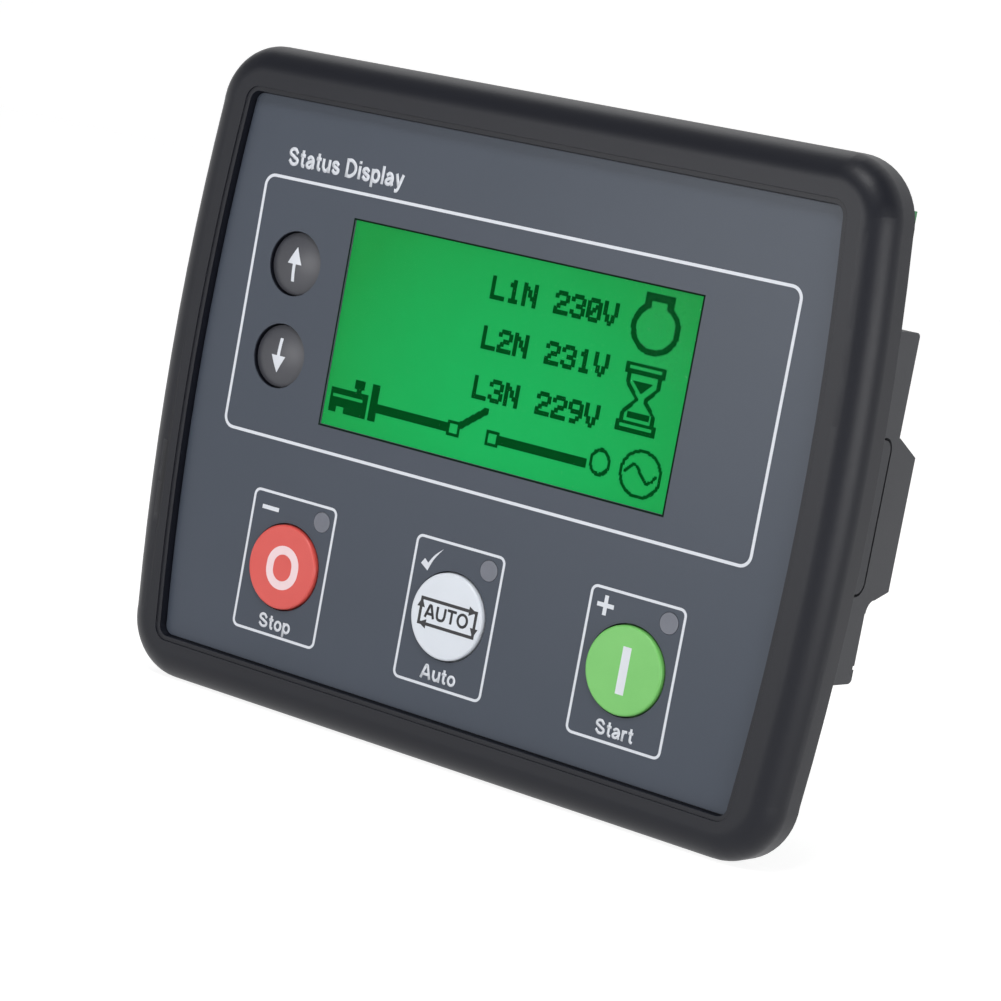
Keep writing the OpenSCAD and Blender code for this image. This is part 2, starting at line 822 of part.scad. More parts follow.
// Stepped rear cover
module rear_cover() {
    color("#37383a") difference() {
        union() {
            difference() {
                cover_outside();
                cover_inside();
            }
            both_sides() cover_lip();
        }
        both_sides() {
            tongue_recess();
            clip_slots();
            edge_notch();
        }
        header_windows(top_poles, top_row);
        header_windows(bottom_poles, bottom_row);
    }
}

// Header shroud of one terminal block
module header(poles, i, row) {
    low = block_x(poles, i) - header_side;
    high = low + block_len(poles, i) + 2 * header_side;
    half_z = header_z / 2;
    color("#2f8f4e") difference() {
        box([low, board_back_y, row * row_z - half_z], [high, header_end_y, row * row_z + half_z]);
        box([low + header_wall, board_back_y - 1, row * row_z - half_z + header_wall],
            [high - header_wall, header_end_y + 1, row * row_z + half_z - header_wall]);
    }
}

module header_top_left() { header(top_poles, 0, top_row); }
module header_top_middle() { header(top_poles, 1, top_row); }
module header_top_right() { header(top_poles, 2, top_row); }
module header_bottom_left() { header(bottom_poles, 0, bottom_row); }
module header_bottom_right() { header(bottom_poles, 1, bottom_row); }

// Outline of a plug's body in y and z, for a row at height 0 whose outer side is up
module plug_outline() {
    polygon([
        [plug_front_y, -plug_inner],
        [plug_back_y, -plug_inner],
        [plug_back_y, plug_outer],
        [plug_front_y + plug_chamfer, plug_outer],
        [plug_front_y, plug_outer - plug_chamfer]
    ]);
}

// Terminal plug at row height 0, with its outer side up
module plug_block(poles, i) {
    low = block_x(poles, i);
    high = low + block_len(poles, i);
    nose_in = header_wall - header_side + nose_gap;
    nose_half = header_z / 2 - header_wall - nose_gap;
    difference() {
        union() {
            along_x(low, high) plug_outline();
            box([low + nose_in, plug_front_y - nose_len, -nose_half], [high - nose_in, plug_front_y + eps, nose_half]);
        }
        box([low + nose_in + nose_wall, plug_front_y - nose_len - 1, nose_wall - nose_half],
            [high - nose_in - nose_wall, plug_front_y, nose_half - nose_wall]);
        for (k = [0 : poles[i] - 1]) translate([low + (k + 0.5) * pole_pitch, 0, 0]) plug_pole();
        for (k = [1 : poles[i] - 1]) translate([low + k * pole_pitch, 0, 0]) plug_groove();
    }
}

// Wire entry and screw well of one pole
module plug_pole() {
    well_y = entry_floor_y + clamp_len / 2;
    box([-entry_w / 2, entry_floor_y, -entry_h / 2], [entry_w / 2, plug_back_y + 1, entry_h / 2]);
    translate([0, well_y, 0]) cylinder(d = clamp_screw_d + 2 * clamp_screw_gap, h = plug_outer + 1);
}

// Groove between two poles, over the outer side and the rear
module plug_groove() {
    box([-groove_w / 2, plug_front_y + plug_chamfer, plug_outer - groove_t],
        [groove_w / 2, plug_back_y + 1, plug_outer + 1]);
    box([-groove_w / 2, plug_back_y - groove_t, -plug_inner - 1], [groove_w / 2, plug_back_y + 1, plug_outer + 1]);
}

// Sets a part drawn at row height 0 into its row, the lower row upside down
module in_row(row) {
    if (row > 0) translate([0, 0, row_z]) children();
    else mirror([0, 0, 1]) translate([0, 0, row_z]) children();
}

module plug(poles, i, row) {
    color("#3aa05c") in_row(row) plug_block(poles, i);
}

module plug_top_left() { plug(top_poles, 0, top_row); }
module plug_top_middle() { plug(top_poles, 1, top_row); }
module plug_top_right() { plug(top_poles, 2, top_row); }
module plug_bottom_left() { plug(bottom_poles, 0, bottom_row); }
module plug_bottom_right() { plug(bottom_poles, 1, bottom_row); }

// Repeats a part at every pole of both rows
module at_poles() {
    for (x = pole_xs(top_poles)) in_row(top_row) translate([x, 0, 0]) children();
    for (x = pole_xs(bottom_poles)) in_row(bottom_row) translate([x, 0, 0]) children();
}

// Contact pins in the headers
module header_pins() {
    half = pin_side / 2;
    color("#c9b27a") at_poles() box([-half, board_back_y, -half], [half, board_back_y + pin_len, half]);
}

// Metal cages that grip the wires
module wire_clamps() {
    half = entry_w / 2 - clamp_gap;
    y1 = entry_floor_y + clamp_len;
    color("#b5b7b9") at_poles() difference() {
        box([-half, entry_floor_y, -clamp_top], [half, y1, clamp_top]);
        box([clamp_wall - half, entry_floor_y + clamp_wall, clamp_wall - clamp_top],
            [half - clamp_wall, y1 + 1, clamp_top - clamp_wall]);
    }
}

// Slotted screws that close the cages
module terminal_screws() {
    top = plug_outer - clamp_screw_sunk;
    neck = top - clamp_screw_h;
    color("#c3c5c8") at_poles() translate([0, entry_floor_y + clamp_len / 2, 0]) difference() {
        union() {
            translate([0, 0, clamp_top]) cylinder(d = clamp_thread_d, h = neck - clamp_top + eps);
            translate([0, 0, neck]) cylinder(d = clamp_screw_d, h = clamp_screw_h);
        }
        box([-clamp_screw_d, -driver_slot_w / 2, top - driver_slot_t], [clamp_screw_d, driver_slot_w / 2, top + 1]);
    }
}

front_housing();
fascia_overlay();
display_window();
lcd_cell();
lcd_light_guide();
lcd_frame();
main_board();
microcontroller();
driver_chips();
supply_capacitors();
board_screws();
stop_key();
auto_key();
start_key();
up_key();
down_key();
stop_plunger();
auto_plunger();
start_plunger();
up_plunger();
down_plunger();
key_switches();
light_pipes();
status_diodes();
panel_gasket();
rear_cover();
header_top_left();
header_top_middle();
header_top_right();
header_bottom_left();
header_bottom_right();
plug_top_left();
plug_top_middle();
plug_top_right();
plug_bottom_left();
plug_bottom_right();
header_pins();
wire_clamps();
terminal_screws();
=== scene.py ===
import json
import math

import bpy
from mathutils import Matrix, Vector


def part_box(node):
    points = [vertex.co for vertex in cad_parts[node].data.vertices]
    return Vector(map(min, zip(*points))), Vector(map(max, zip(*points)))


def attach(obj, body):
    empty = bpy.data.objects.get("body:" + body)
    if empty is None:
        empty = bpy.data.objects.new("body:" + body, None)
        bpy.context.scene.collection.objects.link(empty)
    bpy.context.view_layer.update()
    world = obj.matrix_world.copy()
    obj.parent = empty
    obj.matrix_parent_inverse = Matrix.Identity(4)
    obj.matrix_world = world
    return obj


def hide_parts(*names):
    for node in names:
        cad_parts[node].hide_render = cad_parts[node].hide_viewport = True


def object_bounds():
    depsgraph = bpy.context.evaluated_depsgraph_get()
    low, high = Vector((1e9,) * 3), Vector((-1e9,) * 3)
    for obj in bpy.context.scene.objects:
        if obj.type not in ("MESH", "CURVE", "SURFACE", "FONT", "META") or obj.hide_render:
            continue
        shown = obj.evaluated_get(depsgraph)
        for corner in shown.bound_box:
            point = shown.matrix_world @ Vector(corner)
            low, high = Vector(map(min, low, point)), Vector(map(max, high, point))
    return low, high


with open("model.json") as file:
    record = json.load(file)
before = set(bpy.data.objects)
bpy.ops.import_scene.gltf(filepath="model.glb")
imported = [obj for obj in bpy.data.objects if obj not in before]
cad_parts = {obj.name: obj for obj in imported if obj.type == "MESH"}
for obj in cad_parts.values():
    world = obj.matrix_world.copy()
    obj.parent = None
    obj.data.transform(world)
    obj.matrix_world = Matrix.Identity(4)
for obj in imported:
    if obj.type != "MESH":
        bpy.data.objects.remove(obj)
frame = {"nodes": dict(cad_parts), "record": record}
cadLow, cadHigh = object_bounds()
nodes = frame["nodes"]
mm = 0.001
print("stage: frame loaded,", len(nodes), "nodes")


# picking and placing

def clearPick():
    if bpy.context.object and bpy.context.object.mode != "OBJECT":
        bpy.ops.object.mode_set(mode="OBJECT")
    bpy.ops.object.select_all(action="DESELECT")


def pick(obj):
    clearPick()
    obj.select_set(True)
    bpy.context.view_layer.objects.active = obj


def settle(obj):
    pick(obj)
    bpy.ops.object.transform_apply(location=True, rotation=True, scale=True)


def applyAll(obj):
    pick(obj)
    for modifier in list(obj.modifiers):
        bpy.ops.object.modifier_apply(modifier=modifier.name)


def dress(obj, body, finish, slot, *stoodFor):
    obj.data.materials.clear()
    obj.data.materials.append(finish)
    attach(obj, body)
    if stoodFor:
        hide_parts(*stoodFor)
    return obj


def middle(node):
    low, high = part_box(node)
    return (low + high) / 2


# shader sums: a Flow is a socket that takes part in plain expressions

class Flow:
    def __init__(self, tree, socket=None):
        self.tree = tree
        self.socket = socket

    def node(self, kind, settings=None, inputs=None, output=0):
        made = self.tree.nodes.new(kind)
        for key, value in (settings or {}).items():
            if key == "stops":                          # a ramp's stops: place and colour
                ramp = made.color_ramp.elements
                while len(ramp) < len(value):
                    ramp.new(1)
                for stop, (place, colour) in zip(ramp, value):
                    stop.position = place
                    stop.color = colour
            else:
                setattr(made, key, value)
        for key, value in (inputs or {}).items():
            if isinstance(value, Flow):
                self.tree.links.new(value.socket, made.inputs[key])
            else:
                made.inputs[key].default_value = value
        return Flow(self.tree, made.outputs[output])

    def math(self, operation, first, second=0.0):
        return self.node("ShaderNodeMath", {"operation": operation}, {0: first, 1: second})

    def __add__(self, other):
        return self.math("ADD", self, other)

    def __radd__(self, other):
        return self.math("ADD", other, self)

    def __sub__(self, other):
        return self.math("SUBTRACT", self, other)

    def __rsub__(self, other):
        return self.math("SUBTRACT", other, self)

    def __mul__(self, other):
        return self.math("MULTIPLY", self, other)

    def __rmul__(self, other):
        return self.math("MULTIPLY", other, self)

    def __truediv__(self, other):
        return self.math("DIVIDE", self, other)

    def __rtruediv__(self, other):
        return self.math("DIVIDE", other, self)

    def __gt__(self, other):
        return self.math("GREATER_THAN", self, other)

    def coords(self):
        return self.node("ShaderNodeTexCoord", output="Object")

    def noise(self, size, detail=2.0, rough=0.5):       # size is the width of one blob, in metres
        sockets = {"Vector": self.coords(), "Scale": 1 / size, "Detail": detail, "Roughness": rough}
        return self.node("ShaderNodeTexNoise", {}, sockets)

    def mix(self, share, first, second):
        return self.node("ShaderNodeMix", {"data_type": "RGBA"}, {0: share, 6: first, 7: second}, 2)

    def bump(self, height, depth, strength=1.0):
        return self.node("ShaderNodeBump", {}, {"Strength": strength, "Distance": depth, "Height": height})


def tint(red, green, blue, alpha=1.0):                  # screen colour, 0 to 255, as Blender's linear one
    line = []
    for part in (red, green, blue):
        part /= 255
        line.append(part / 12.92 if part <= 0.04045 else ((part + 0.055) / 1.055) ** 2.4)
    return (*line, alpha)


def startFinish(name, **plain):                         # plain holds what is the same all over
    material = bpy.data.materials.new(name)
    material.use_nodes = True
    shader = material.node_tree.nodes["Principled BSDF"]
    for key, value in plain.items():
        shader.inputs[key.replace("_", " ")].default_value = value
    return material, Flow(material.node_tree), shader


def feed(flow, shader, **sockets):
    for key, value in sockets.items():
        flow.tree.links.new(value.socket, shader.inputs[key.replace("_", " ")])


# one recipe for every moulded, printed or coated surface, with two shades and a fine grain

def moulded(name, look, **plain):
    material, flow, shader = startFinish(name, **plain)
    cloud = flow.noise(look["cloud"], 3.0)
    grain = flow.noise(look["grain"], 2.0, 0.6)
    shade = cloud * (1 - look["speckle"]) + grain * look["speckle"]
    feed(
        flow, shader,
        Base_Color=flow.mix(shade, tint(*look["dark"]), tint(*look["light"])),
        Roughness=look["rough"] + (grain - 0.5) * look["roughSpread"],
        Normal=flow.bump(grain, look["bump"]),
    )
    return material


finishes = {}


def bezelPlastic(look):                                 # satin front, matt and paler behind the panel
    material, flow, shader = startFinish("satinBezelPlastic", Specular_IOR_Level=look["shine"])
    cloud = flow.noise(look["cloud"], 3.0)
    grain = flow.noise(look["grain"], 2.0, 0.6)
    behind = flow.node("ShaderNodeSeparateXYZ", {}, {0: flow.coords()}, 1) > look["panelY"]
    front = flow.mix(cloud, tint(*look["dark"]), tint(*look["light"]))
    rear = flow.mix(grain, tint(*look["rearDark"]), tint(*look["rearLight"]))
    feed(
        flow, shader,
        Base_Color=flow.mix(behind, front, rear),
        Roughness=look["rough"] + (grain - 0.5) * look["roughSpread"] + behind * look["rearRough"],
        Normal=flow.bump(grain, look["bump"]),
    )
    return material


finishes["housing_plastic"] = bezelPlastic({
    "dark": (12, 14, 23), "light": (17, 19, 28), "cloud": 18 * mm, "grain": 0.25 * mm,
    "rearDark": (52, 53, 57), "rearLight": (64, 65, 69), "panelY": 0.5 * mm, "rearRough": 0.17,
    "rough": 0.42, "roughSpread": 0.1, "bump": 0.01 * mm, "shine": 0.3,
})
finishes["cover_plastic"] = moulded("mattCoverPlastic", {
    "dark": (52, 53, 57), "light": (64, 65, 69), "cloud": 12 * mm, "grain": 0.35 * mm, "speckle": 0.5,
    "rough": 0.55, "roughSpread": 0.14, "bump": 0.02 * mm,
}, Specular_IOR_Level=0.35)
finishes["fascia_foil"] = moulded("mattFasciaFoil", {
    "dark": (61, 68, 78), "light": (74, 80, 92), "cloud": 30 * mm, "grain": 0.16 * mm, "speckle": 0.62,
    "rough": 0.34, "roughSpread": 0.16, "bump": 0.01 * mm,
}, Specular_IOR_Level=0.22)
finishes["white_plastic"] = moulded("frameWhitePlastic", {
    "dark": (212, 212, 206), "light": (228, 228, 224), "cloud": 9 * mm, "grain": 0.3 * mm, "speckle": 0.4,
    "rough": 0.5, "roughSpread": 0.1, "bump": 0.01 * mm,
})
keyFinish = {
    "cloud": 6 * mm, "grain": 0.2 * mm, "speckle": 0.3,
    "rough": 0.36, "roughSpread": 0.08, "bump": 0.006 * mm,
}
finishes["red_key"] = moulded("redKeyPlastic", {
    **keyFinish, "dark": (204, 70, 64), "light": (218, 88, 81),
})
finishes["white_key"] = moulded("whiteKeyPlastic", {
    **keyFinish, "dark": (208, 213, 221), "light": (220, 225, 233),
})
finishes["green_key"] = moulded("greenKeyPlastic", {
    **keyFinish, "dark": (103, 182, 89), "light": (121, 197, 105),
})
finishes["grey_key"] = moulded("greyArrowPlastic", {
    "dark": (54, 55, 62), "light": (66, 67, 73), "cloud": 5 * mm, "grain": 0.2 * mm, "speckle": 0.45,
    "rough": 0.42, "roughSpread": 0.1, "bump": 0.008 * mm,
})
finishes["lamp_lens"] = moulded("indicatorLens", {
    "dark": (94, 97, 107), "light": (110, 113, 124), "cloud": 2 * mm, "grain": 0.15 * mm, "speckle": 0.4,
    "rough": 0.42, "roughSpread": 0.1, "bump": 0.004 * mm,
})
finishes["seal_rubber"] = moulded("sealRubber", {
    "dark": (20, 20, 20), "light": (30, 30, 30), "cloud": 4 * mm, "grain": 0.3 * mm, "speckle": 0.6,
    "rough": 0.8, "roughSpread": 0.15, "bump": 0.03 * mm,
})
finishes["terminal_green"] = moulded("terminalGreenPlastic", {
    "dark": (34, 112, 62), "light": (46, 134, 76), "cloud": 7 * mm, "grain": 0.25 * mm, "speckle": 0.35,
    "rough": 0.4, "roughSpread": 0.12, "bump": 0.01 * mm,
})
finishes["switch_black"] = moulded("switchBlackPlastic", {
    "dark": (24, 24, 25), "light": (36, 36, 37), "cloud": 3 * mm, "grain": 0.2 * mm, "speckle": 0.4,
    "rough": 0.5, "roughSpread": 0.1, "bump": 0.008 * mm,
})
finishes["chip_black"] = moulded("chipBlackEpoxy", {
    "dark": (22, 22, 23), "light": (40, 40, 42), "cloud": 5 * mm, "grain": 0.15 * mm, "speckle": 0.7,
    "rough": 0.62, "roughSpread": 0.16, "bump": 0.012 * mm,
})
finishes["capacitor_sleeve"] = moulded("capacitorSleeve", {
    "dark": (30, 33, 42), "light": (44, 47, 58), "cloud": 4 * mm, "grain": 0.3 * mm, "speckle": 0.3,
    "rough": 0.34, "roughSpread": 0.1, "bump": 0.01 * mm,
})
inkFinish = {
    "cloud": 5 * mm, "grain": 0.12 * mm, "speckle": 0.6,
    "rough": 0.5, "roughSpread": 0.12, "bump": 0.003 * mm,
}
whiteInk = moulded("whiteInk", {**inkFinish, "dark": (206, 210, 218), "light": (220, 223, 230)})
pinkInk = moulded("pinkInk", {**inkFinish, "dark": (230, 202, 206), "light": (240, 214, 217)})
darkInk = moulded("darkInk", {**inkFinish, "cloud": 4 * mm, "dark": (18, 18, 23), "light": (28, 28, 34)})
# painted shade: a dark green ink that stands for the shadow at the display window's recessed edge
windowShadeInk = moulded("windowShadeInk", {
    **inkFinish, "cloud": 4 * mm, "dark": (3, 24, 13), "light": (8, 34, 20), "rough": 0.6,
}, Specular_IOR_Level=0.05)


def metal(name, look):
    material, flow, shader = startFinish(name, Metallic=1.0)
    worn = flow.noise(look["cloud"], 4.0)
    fine = flow.noise(look["grain"], 3.0, 0.7)
    feed(
        flow, shader,
        Base_Color=flow.mix(worn, tint(*look["dark"]), tint(*look["light"])),
        Roughness=look["rough"] + (fine - 0.5) * look["roughSpread"],
        Normal=flow.bump(fine, look["bump"]),
    )
    return material


finishes["bright_steel"] = metal("platedSteel", {
    "dark": (176, 178, 182), "light": (206, 208, 211), "cloud": 1.5 * mm, "grain": 0.12 * mm,
    "rough": 0.32, "roughSpread": 0.2, "bump": 0.006 * mm,
})
finishes["contact_brass"] = metal("tinnedBrass", {
    "dark": (178, 150, 88), "light": (206, 184, 128), "cloud": 1.5 * mm, "grain": 0.12 * mm,
    "rough": 0.34, "roughSpread": 0.2, "bump": 0.006 * mm,
})


def clearPlastic(name, look, **plain):                  # lets light through, with a faint haze
    material, flow, shader = startFinish(name, **plain)
    haze = flow.noise(look["cloud"], look["detail"])
    feed(
        flow, shader,
        Base_Color=flow.mix(haze, tint(*look["dark"]), tint(*look["light"])),
        Roughness=look["rough"] + haze * look["roughSpread"],
    )
    return material


finishes["clear_pane"] = clearPlastic("clearPane", {
    "dark": (247, 250, 248), "light": (253, 254, 253), "cloud": 9 * mm, "detail": 3.0,
    "rough": 0.03, "roughSpread": 0.03,
}, Transmission_Weight=1.0, IOR=1.03)
finishes["light_guide"] = clearPlastic("lightGuide", {
    "dark": (204, 232, 208), "light": (226, 244, 228), "cloud": 0.8 * mm, "detail": 1.0,
    "rough": 0.3, "roughSpread": 0.2,
}, Transmission_Weight=0.5)
finishes["diode_lens"] = clearPlastic("diodeLens", {
    "dark": (206, 200, 194), "light": (226, 222, 216), "cloud": 1.2 * mm, "detail": 2.0,
    "rough": 0.12, "roughSpread": 0.1,
}, Transmission_Weight=0.4)


def circuitBoard(look):                                 # solder mask over square lanes of copper
    material, flow, shader = startFinish("circuitBoard")
    lanes = flow.node("ShaderNodeTexVoronoi", {"feature": "DISTANCE_TO_EDGE", "distance": "CHEBYCHEV"},
                      {"Vector": flow.coords(), "Scale": 1 / look["pitch"]})
    copper = (lanes > look["gap"]) * look["laneShare"]
    weave = flow.noise(look["grain"], 2.0)
    feed(
        flow, shader,
        Base_Color=flow.mix(copper + weave * look["weaveShare"], tint(*look["dark"]), tint(*look["light"])),
        Roughness=look["rough"] + weave * look["roughSpread"],
        Normal=flow.bump(copper, look["bump"]),
    )
    return material


finishes["circuit_board"] = circuitBoard({
    "dark": (20, 74, 42), "light": (34, 106, 60), "pitch": 3.2 * mm, "gap": 0.12, "grain": 0.4 * mm,
    "laneShare": 0.7, "weaveShare": 0.3, "rough": 0.3, "roughSpread": 0.15, "bump": 0.02 * mm,
})


# display: lit green cell, brighter towards the lower middle

display = {
    "columns": 128, "rows": 64, "pitchX": 0.54 * mm, "pitchZ": 0.523 * mm,
    "fine": 2,                                          # cells of the picture in one dot, each way
    "left": -33.2 * mm, "top": 29.0 * mm,               # corner of the dot field
    "dotLift": 0.015 * mm, "dotThick": 0.01 * mm,
    "bright": (33, 176, 92), "dim": (36, 152, 72), "dot": (2, 68, 24), "dotPale": (4, 76, 30),
    "glow": 0.9, "soak": 0.9,                           # own light, and share of other light soaked up
    "glowX": 4 * mm, "glowZ": -1 * mm,                  # brightest place
    "fadeX": 38 * mm, "fadeZ": 34 * mm, "fade": 0.7,    # how far and how much it falls off
    "cloud": 7 * mm, "cloudShare": 0.16, "dotCloud": 2 * mm,
}


def litFinish(name):
    return startFinish(name, Emission_Strength=display["glow"], Roughness=0.5, Specular_IOR_Level=0.0)


def feedLit(flow, shader, colour):
    feed(flow, shader, Base_Color=flow.mix(display["soak"], colour, (0, 0, 0, 1)), Emission_Color=colour)


def litCell():
    material, flow, shader = litFinish("litGreenCell")
    place = flow.node("ShaderNodeSeparateXYZ", {}, {0: flow.coords()})
    high = Flow(flow.tree, place.socket.node.outputs[2])
    across = (place - display["glowX"]) / display["fadeX"]
    up = (high - display["glowZ"]) / display["fadeZ"]
    haze = flow.noise(display["cloud"], 2.0)
    shade = (across * across + up * up) * display["fade"] + (haze - 0.5) * display["cloudShare"]
    feedLit(flow, shader, flow.mix(shade, tint(*display["bright"]), tint(*display["dim"])))
    return material


def darkDots():
    material, flow, shader = litFinish("darkDots")
    haze = flow.noise(display["dotCloud"], 2.0)
    feedLit(flow, shader, flow.mix(haze, tint(*display["dot"]), tint(*display["dotPale"])))
    return material


finishes["display_green"] = litCell()
print("stage: finishes made,", len(finishes))

bodyOf = {}
for body, members in frame["record"]["behaviour"]["bodies"].items():
    for member in members:
        bodyOf[member] = body

slotOf = {entry["node"]: entry["material_slot"] for entry in frame["record"]["subparts"]}
for node, slot in slotOf.items():
    nodes[node].data.materials.clear()
    nodes[node].data.materials.append(finishes[slot])


# moulded pieces shown with their sharp edges broken

def softEdged(node, name, edge):
    obj = bpy.data.objects.new(name, nodes[node].data.copy())
    bpy.context.scene.collection.objects.link(obj)
    pick(obj)
    bpy.ops.mesh.customdata_custom_splitnormals_clear()
    bpy.ops.object.mode_set(mode="EDIT")
    bpy.ops.mesh.select_all(action="SELECT")
    bpy.ops.mesh.remove_doubles(threshold=edge["merge"])
    bpy.ops.mesh.dissolve_limited(angle_limit=math.radians(edge["flat"]))
    bpy.ops.object.mode_set(mode="OBJECT")
    if edge["width"]:
        rounding = obj.modifiers.new("rounding", "BEVEL")
        rounding.width = edge["width"]
        rounding.segments = edge["segments"]
        rounding.limit_method = "ANGLE"
        rounding.angle_limit = math.radians(edge["sharp"])
        applyAll(obj)
        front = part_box(node)[0].y
        for vertex in obj.data.vertices:                # no corner of the rounding stands proud of the front
            vertex.co.y = max(vertex.co.y, front)
    bpy.ops.object.shade_smooth_by_angle(angle=math.radians(edge["smooth"]))
    even = obj.modifiers.new("even", "WEIGHTED_NORMAL")
    even.keep_sharp = True
    applyAll(obj)
    return dress(obj, bodyOf[node], finishes[slotOf[node]], slotOf[node], node)


plainEdge = {"merge": 0.002 * mm, "flat": 0.1, "width": 0.0, "segments": 2, "sharp": 40, "smooth": 34}
mouldEdge = {**plainEdge, "width": 0.18 * mm, "segments": 3}
coverEdge = {**plainEdge, "width": 0.25 * mm, "segments": 3}
foilEdge = {**plainEdge, "width": 0.1 * mm, "segments": 2}
plugEdge = {**plainEdge, "width": 0.14 * mm, "segments": 2}

softEdged("front_housing", "bezelMoulding", mouldEdge)
softEdged("rear_cover", "coverMoulding", coverEdge)
softEdged("fascia_overlay", "fasciaFoil", foilEdge)
for part in ("top_left", "top_middle", "top_right", "bottom_left", "bottom_right"):
    softEdged("plug_" + part, "plug" + part.title().replace("_", ""), plugEdge)
    softEdged("header_" + part, "header" + part.title().replace("_", ""), plugEdge)
keyCaps = {}
for key in ("stop", "auto", "start", "up", "down"):
    keyCaps[key] = softEdged(key + "_key", key + "Cap", plainEdge)
softEdged("light_pipes", "indicatorLenses", plainEdge)
softEdged("panel_gasket", "panelSeal", plainEdge)
softEdged("terminal_screws", "clampScrews", {**plainEdge, "width": 0.06 * mm})
softEdged("supply_capacitors", "capacitorCans", {**plainEdge, "width": 0.3 * mm})
softEdged("board_screws", "boardScrews", {**plainEdge, "width": 0.2 * mm})
print("stage: moulded pieces dressed")


# printing: thin ink films on the foil and the key tops

ink = {
    "thick": 0.02 * mm, "layer": 0.003 * mm,
    "faceY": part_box("fascia_overlay")[0].y, "keyY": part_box("stop_key")[0].y,
}


def thicken(obj, depth):                                # a flat film gets its thickness towards the back
    film = obj.modifiers.new("film", "SOLIDIFY")
    film.thickness = depth
    film.offset = -1
    applyAll(obj)


def inkPlate(name, width, height, x, z, y):
    clearPick()
    bpy.ops.mesh.primitive_plane_add(size=1, location=(x, y - ink["thick"], z), rotation=(math.pi / 2, 0, 0))
    obj = bpy.context.object
    obj.name = name
    obj.scale = (width, height, 1)
    settle(obj)
    return obj


def inkOutline(name, look, x, z, y):                    # rounded frame: plate, inset, middle cut out
    obj = inkPlate(name, look["width"], look["height"], x, z, y)
    bpy.ops.object.mode_set(mode="EDIT")
    bpy.ops.mesh.select_all(action="SELECT")
    if look["corner"]:
        bpy.ops.mesh.bevel(offset=look["corner"], segments=look["arc"], affect="VERTICES")
        bpy.ops.mesh.select_all(action="SELECT")
    bpy.ops.mesh.inset(thickness=look["line"])
    bpy.ops.mesh.delete(type="FACE")
    bpy.ops.object.mode_set(mode="OBJECT")
    thicken(obj, ink["thick"])
    return obj


# letters are ribbons along strokes, with a cap height of 1
# a point marked 0 is a corner, and a stroke that ends where it began is closed

letters = {
    "S": (0.84, [[(0.71, 0.69), (0.41, 0.92), (0.11, 0.72), (0.42, 0.5),
                  (0.74, 0.27), (0.42, 0.08), (0.09, 0.31)]]),
    "D": (0.88, [[(0.1, 0.08, 0), (0.1, 0.92, 0), (0.42, 0.92), (0.77, 0.5), (0.42, 0.08), (0.1, 0.08, 0)]]),
    "A": (0.9, [[(0.08, 0), (0.4, 0.96)], [(0.82, 0), (0.5, 0.96)], [(0.2, 0.3), (0.7, 0.3)],
                [(0.36, 0.93), (0.54, 0.93)]]),
    "U": (0.86, [[(0.09, 1, 0), (0.09, 0.4, 0), (0.2, 0.12), (0.43, 0.05),
                  (0.66, 0.12), (0.77, 0.4, 0), (0.77, 1, 0)]]),
    "T": (0.8, [[(0, 0.95), (0.8, 0.95)], [(0.4, 0.95), (0.4, 0)]]),
    "O": (0.96, [[(0.08, 0.5), (0.48, 0.95), (0.88, 0.5), (0.48, 0.05), (0.08, 0.5)]]),
    "a": (0.68, [[(0.09, 0.52), (0.32, 0.66), (0.54, 0.5), (0.54, 0.16, 0), (0.6, 0.02, 0)],
                 [(0.54, 0.41, 0), (0.27, 0.37), (0.09, 0.2), (0.27, 0.07), (0.54, 0.26)]]),
    "i": (0.22, [[(0.11, 0), (0.11, 0.73)], [(0.11, 0.84), (0.11, 1)]]),
    "l": (0.22, [[(0.11, 0), (0.11, 1)]]),
    "o": (0.7, [[(0.1, 0.365), (0.35, 0.66), (0.6, 0.365), (0.35, 0.07), (0.1, 0.365)]]),
    "p": (0.7, [[(0.1, -0.27), (0.1, 0.73)],
                [(0.1, 0.365), (0.35, 0.66), (0.6, 0.365), (0.35, 0.07), (0.1, 0.365)]]),
    "r": (0.44, [[(0.1, 0), (0.1, 0.73)], [(0.1, 0.42), (0.22, 0.62), (0.42, 0.65)]]),
    "s": (0.64, [[(0.54, 0.51), (0.31, 0.66), (0.1, 0.52), (0.32, 0.37),
                  (0.55, 0.21), (0.32, 0.07), (0.08, 0.23)]]),
    "t": (0.42, [[(0.2, 0.95, 0), (0.2, 0.22, 0), (0.27, 0.09), (0.41, 0.08)], [(0.02, 0.65), (0.4, 0.65)]]),
    "u": (0.68, [[(0.1, 0.73, 0), (0.1, 0.28, 0), (0.29, 0.07), (0.58, 0.3, 0)], [(0.58, 0), (0.58, 0.73)]]),
    "y": (0.66, [[(0.08, 0.73), (0.34, 0.04)],
                 [(0.59, 0.73, 0), (0.32, -0.06, 0), (0.22, -0.18), (0.06, -0.19)]]),
}


